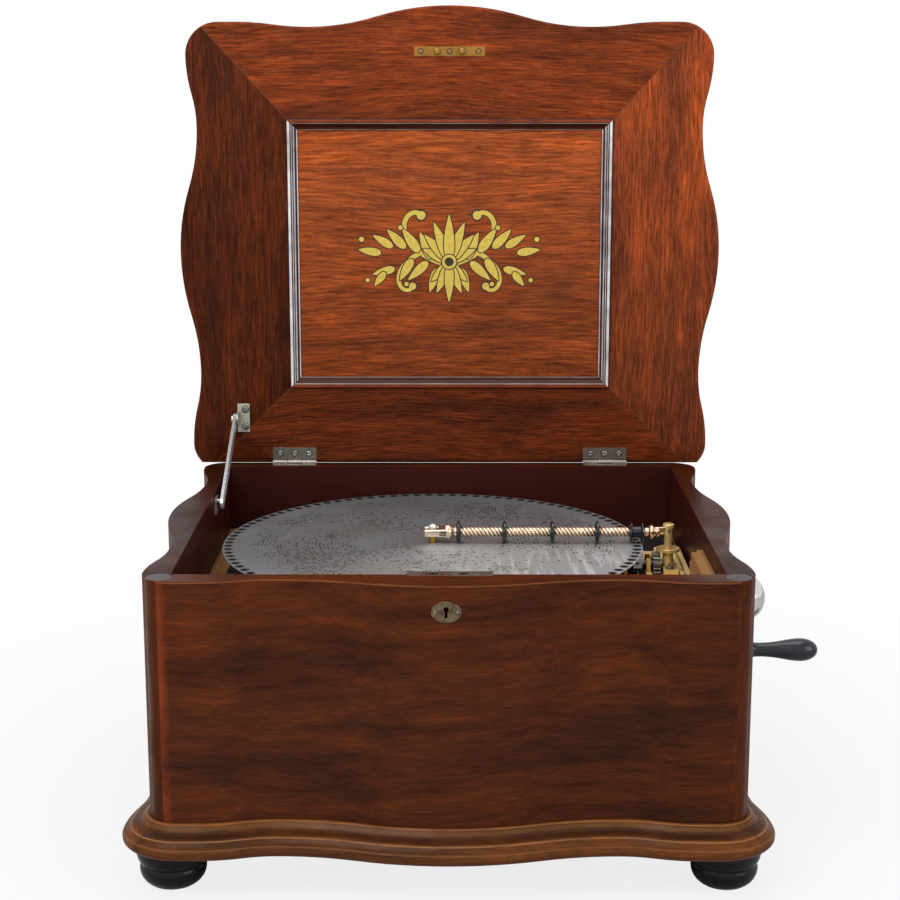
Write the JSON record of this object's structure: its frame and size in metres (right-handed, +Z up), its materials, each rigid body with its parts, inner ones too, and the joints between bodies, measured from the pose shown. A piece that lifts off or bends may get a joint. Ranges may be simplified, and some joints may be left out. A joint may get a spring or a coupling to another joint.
{
  "type": "disc music box",
  "caption": "Hand-wound disc music box: serpentine wooden case on bun feet, hinged lid, perforated steel disc, pressure bar with rollers, star wheels, combs and spring motor.",
  "frame": {"origin": "on the surface it stands on, under the middle of the case, on its left-right symmetry plane", "axes": "+X to the crank side (the right as one faces the keyhole), +Y to the back where the lid is hinged, +Z up"},
  "size_m": [0.6363, 0.5129, 0.7479],
  "materials": {
    "mahogany": "french polished",
    "mahogany_panel": "french polished",
    "plywood": "oiled",
    "spruce": "planed",
    "ebonised": "gloss lacquer",
    "nickel": "tarnished nickel plate",
    "steel": "satin",
    "disc_steel": "dull",
    "brass": "lacquered",
    "gilt": "gilt lacquer",
    "iron": "black japanned"
  },
  "bodies": {
    "case": {"case_front": "mahogany", "case_left": "mahogany", "case_right": "mahogany", "case_back": "mahogany", "corner_posts": "mahogany", "base_moulding": "mahogany", "bottom_board": "plywood", "bun_feet": "ebonised", "bed_rails": "spruce", "side_cleat": "spruce", "hinge_case_leaves": "nickel", "hinge_pins": "steel", "stay_stud_plate": "nickel", "lock_case": "steel", "escutcheon": "nickel", "bedplate": "iron", "bedplate_end": "gilt", "shaft_brackets": "brass", "comb_front": "steel", "comb_back": "steel", "comb_bases": "gilt", "centre_spindle": "brass", "governor_housing": "iron", "motor_plates": "gilt", "crank_bush": "nickel", "bar_pillar": "brass", "case_screws": "steel"},
    "lid": {"lid_frame": "mahogany", "lid_top": "mahogany", "lid_panel": "mahogany_panel", "panel_moulding": "mahogany", "hinge_lid_leaves": "nickel", "stay_bracket": "nickel", "link_plate": "brass", "lid_screws": "steel"},
    "stay": {"stay_arm": "nickel"},
    "bolt": {"lock_bolt": "brass"},
    "music_disc": {"disc": "disc_steel"},
    "drive_sprocket": {"sprocket": "steel", "sprocket_shaft": "steel"},
    "stars": {"star_wheels": "steel", "star_arbor": "steel"},
    "barrel": {"spring_barrel": "brass", "great_wheel": "brass"},
    "arbor": {"winding_arbor": "steel", "winding_wheel": "brass"},
    "governor_drive": {"governor_shaft": "steel"},
    "fan": {"governor_fan": "brass"},
    "crank": {"crank_shaft": "steel", "crank_arm": "nickel", "crank_cap": "nickel", "grip_pin": "steel"},
    "grip": {"crank_grip": "ebonised"},
    "bar": {"pressure_bar": "gilt"},
    "roller_a": {"roller_1": "iron"},
    "roller_b": {"roller_2": "iron"},
    "roller_c": {"roller_3": "iron"},
    "roller_d": {"roller_4": "iron"},
    "roller_e": {"roller_edge": "iron"},
    "lever": {"stop_lever": "brass"}
  },
  "joints": [
    {"name": "lid_hinge", "type": "hinge", "parent": "case", "child": "lid", "pos_m": [0, 0.2206, 0.2803], "axis": [1, 0, 0], "range_deg": [0, 90]},
    {"name": "stay_pivot", "type": "hinge", "parent": "lid", "child": "stay", "pos_m": [-0.224, 0.213, 0.328], "axis": [1, 0, 0], "range_deg": [-115, 0]},
    {"name": "bolt_slide", "type": "slide", "parent": "case", "child": "bolt", "axis": [-1, 0, 0], "range_m": [0, 0.005]},
    {"name": "disc_turn", "type": "hinge", "parent": "case", "child": "music_disc", "pos_m": [-0.0155, 0.004, 0.2505], "axis": [0, 0, 1], "continuous": true},
    {"name": "sprocket_turn", "type": "hinge", "parent": "case", "child": "drive_sprocket", "pos_m": [0.176, 0.004, 0.23096], "axis": [1, 0, 0], "continuous": true},
    {"name": "stars_turn", "type": "hinge", "parent": "case", "child": "stars", "pos_m": [0.08, 0.004, 0.241], "axis": [1, 0, 0], "continuous": true},
    {"name": "barrel_turn", "type": "hinge", "parent": "case", "child": "barrel", "pos_m": [0.15, 0.02672, 0.17059], "axis": [1, 0, 0], "continuous": true},
    {"name": "governor_turn", "type": "hinge", "parent": "case", "child": "governor_drive", "pos_m": [0.18, -0.03778, 0.17059], "axis": [1, 0, 0], "continuous": true},
    {"name": "fan_turn", "type": "hinge", "parent": "case", "child": "fan", "pos_m": [0.154, -0.03778, 0.14059], "axis": [0, 0, 1], "continuous": true},
    {"name": "crank_turn", "type": "hinge", "parent": "case", "child": "crank", "pos_m": [0.26, 0, 0.199], "axis": [1, 0, 0], "continuous": true},
    {"name": "arbor_turn", "type": "hinge", "parent": "case", "child": "arbor", "pos_m": [0.15, 0.02672, 0.17059], "axis": [1, 0, 0], "continuous": true},
    {"name": "grip_turn", "type": "hinge", "parent": "crank", "child": "grip", "pos_m": [0.3, 0, 0.147], "axis": [1, 0, 0], "continuous": true},
    {"name": "bar_hinge", "type": "hinge", "parent": "case", "child": "bar", "pos_m": [0.206, 0.004, 0.263], "axis": [0, -1, 0], "range_deg": [-80, 0]},
    {"name": "lever_turn", "type": "hinge", "parent": "case", "child": "lever", "pos_m": [0.206, -0.095, 0.221], "axis": [0, 0, 1], "range_deg": [-14, 0]},
    {"name": "roller_turn_1", "type": "hinge", "parent": "bar", "child": "roller_a", "pos_m": [0.0088, 0.004, 0.2615], "axis": [1, 0, 0], "continuous": true},
    {"name": "roller_turn_2", "type": "hinge", "parent": "bar", "child": "roller_b", "pos_m": [0.0519, 0.004, 0.2615], "axis": [1, 0, 0], "continuous": true},
    {"name": "roller_turn_3", "type": "hinge", "parent": "bar", "child": "roller_c", "pos_m": [0.0968, 0.004, 0.2615], "axis": [1, 0, 0], "continuous": true},
    {"name": "roller_turn_4", "type": "hinge", "parent": "bar", "child": "roller_d", "pos_m": [0.139, 0.004, 0.2615], "axis": [1, 0, 0], "continuous": true},
    {"name": "roller_turn_5", "type": "hinge", "parent": "bar", "child": "roller_e", "pos_m": [0.176, 0.004, 0.2615], "axis": [1, 0, 0], "continuous": true}
  ],
  "couplings": [
    {"joint": "stay_pivot", "follows": "lid_hinge", "ratio": -1.2598},
    {"joint": "sprocket_turn", "follows": "disc_turn", "ratio": -9.8},
    {"joint": "stars_turn", "follows": "disc_turn", "ratio": -4},
    {"joint": "barrel_turn", "follows": "disc_turn", "ratio": 1.9056},
    {"joint": "governor_turn", "follows": "disc_turn", "ratio": -9.8},
    {"joint": "fan_turn", "follows": "disc_turn", "ratio": 58.8},
    {"joint": "arbor_turn", "follows": "crank_turn", "ratio": -0.3},
    {"joint": "roller_turn_1", "follows": "disc_turn", "ratio": 2.3824},
    {"joint": "roller_turn_2", "follows": "disc_turn", "ratio": 6.6078},
    {"joint": "roller_turn_3", "follows": "disc_turn", "ratio": 11.01},
    {"joint": "roller_turn_4", "follows": "disc_turn", "ratio": 15.147},
    {"joint": "roller_turn_5", "follows": "disc_turn", "ratio": 18.775}
  ]
}
